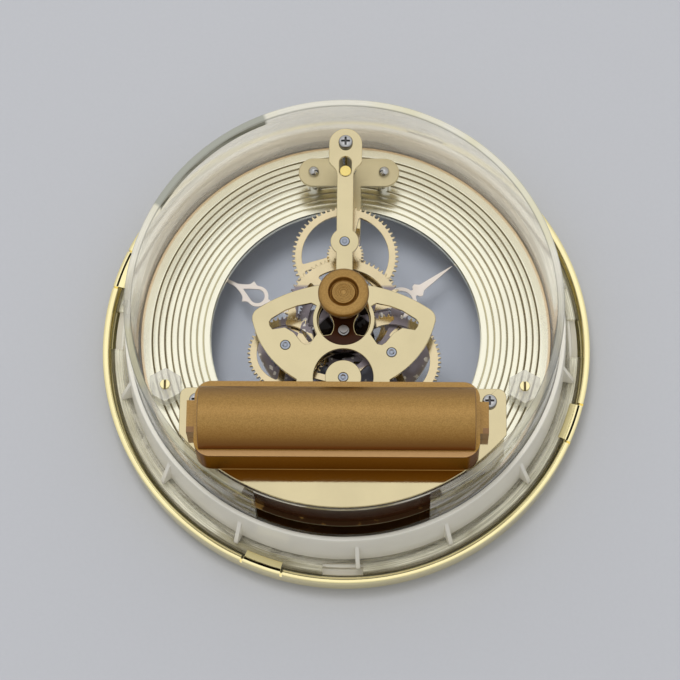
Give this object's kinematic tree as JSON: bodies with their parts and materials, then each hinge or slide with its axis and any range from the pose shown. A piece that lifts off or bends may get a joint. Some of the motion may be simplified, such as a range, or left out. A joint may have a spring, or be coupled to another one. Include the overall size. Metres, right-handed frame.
{
  "type": "skeleton clock insert",
  "caption": "Press-in skeleton clock: gold bezel, clear cup with a finned fit ring, open geared quartz movement between gold plates, setting knob and battery box at the back.",
  "frame": {"origin": "centre of the bezel's front face, which is the lowest face: the insert lies on its front", "axes": "+Z points to the back of the clock, +Y to twelve o'clock, +X to the right when seen from the back"},
  "size_m": [0.15, 0.15, 0.0736],
  "materials": {
    "gold_polished": "polished",
    "gold_satin": "satin",
    "gold_dial": "polished",
    "gold_wheel": "polished",
    "brass_plain": "polished",
    "nickel": "polished",
    "steel": "satin",
    "soft_iron": "satin",
    "magnet": "matte",
    "front_glass": "clear",
    "clear_plastic": "clear",
    "white_plastic": "matte",
    "bronze_plastic": "metallic lacquer",
    "bronze_dark": "gloss",
    "hand_paint": "satin",
    "copper_wire": "enamelled",
    "board_green": "matte",
    "black_epoxy": "gloss",
    "cell_sleeve": "gloss",
    "red_sleeve": "matte"
  },
  "bodies": {
    "case": {"bezel": "gold_polished", "lens": "front_glass", "lens_ring": "white_plastic", "case_cup": "clear_plastic", "fit_ring": "white_plastic", "dial_ring": "gold_dial", "hour_markers": "gold_polished", "hex_nuts": "clear_plastic", "dial_screws": "gold_polished", "front_plate": "gold_satin", "rear_plate": "gold_satin", "arm_pillars": "nickel", "arm_screws": "nickel", "head_pillar": "nickel", "head_screw": "nickel", "base_pillars": "nickel", "base_screws": "nickel", "plate_posts": "brass_plain", "centre_bridge": "bronze_dark", "bridge_screw": "nickel", "stator": "soft_iron", "coil_core": "soft_iron", "coil_bobbin": "white_plastic", "coil_winding": "copper_wire", "motor_housing": "bronze_dark", "circuit_board": "board_green", "crystal_can": "nickel", "control_chip": "black_epoxy", "battery_tray": "bronze_dark", "contact_plate": "nickel", "contact_spring": "nickel", "battery_leads": "red_sleeve"},
    "minute": {"centre_arbor": "steel", "centre_wheel": "gold_wheel", "minute_hand": "hand_paint", "hand_nut": "brass_plain", "setting_knob": "bronze_plastic"},
    "hour": {"hour_wheel": "gold_wheel", "hour_hand": "hand_paint"},
    "top": {"top_wheel": "gold_wheel", "top_arbor": "steel"},
    "left": {"left_wheel": "gold_wheel", "left_arbor": "steel"},
    "right": {"right_wheel": "gold_wheel", "right_arbor": "steel"},
    "lower": {"lower_wheel": "gold_wheel", "lower_arbor": "steel"},
    "rotor": {"rotor_magnet": "magnet", "rotor_shaft": "steel"},
    "cover": {"battery_cover": "bronze_plastic"},
    "cell": {"battery": "cell_sleeve"}
  },
  "joints": [
    {"name": "minute_spin", "type": "hinge", "parent": "case", "child": "minute", "pos_m": [0, 0, 0.04], "axis": [0, 0, 1], "continuous": true},
    {"name": "hour_spin", "type": "hinge", "parent": "case", "child": "hour", "pos_m": [0, 0, 0.033], "axis": [0, 0, 1], "continuous": true},
    {"name": "top_spin", "type": "hinge", "parent": "case", "child": "top", "pos_m": [0, 0.0191, 0.038], "axis": [0, 0, 1], "continuous": true},
    {"name": "left_spin", "type": "hinge", "parent": "case", "child": "left", "pos_m": [-0.01703, -0.01336, 0.04], "axis": [0, 0, 1], "continuous": true},
    {"name": "right_spin", "type": "hinge", "parent": "case", "child": "right", "pos_m": [0.01408, -0.01548, 0.04], "axis": [0, 0, 1], "continuous": true},
    {"name": "lower_spin", "type": "hinge", "parent": "case", "child": "lower", "pos_m": [0, -0.0232, 0.045], "axis": [0, 0, 1], "continuous": true},
    {"name": "rotor_spin", "type": "hinge", "parent": "case", "child": "rotor", "pos_m": [0, -0.0368, 0.04], "axis": [0, 0, 1], "continuous": true},
    {"name": "cover_lift", "type": "slide", "parent": "case", "child": "cover", "axis": [0, 0, 1], "range_m": [0, 0.03]},
    {"name": "cell_lift", "type": "slide", "parent": "case", "child": "cell", "axis": [0, 0, 1], "range_m": [0, 0.018]}
  ],
  "couplings": [
    {"joint": "top_spin", "follows": "minute_spin", "ratio": -0.21875},
    {"joint": "hour_spin", "follows": "minute_spin", "ratio": 0.083333},
    {"joint": "left_spin", "follows": "minute_spin", "ratio": -4},
    {"joint": "right_spin", "follows": "minute_spin", "ratio": -4.8},
    {"joint": "lower_spin", "follows": "minute_spin", "ratio": 38.4},
    {"joint": "rotor_spin", "follows": "minute_spin", "ratio": -240},
    {"joint": "cell_lift", "follows": "cover_lift", "ratio": 0.5}
  ]
}
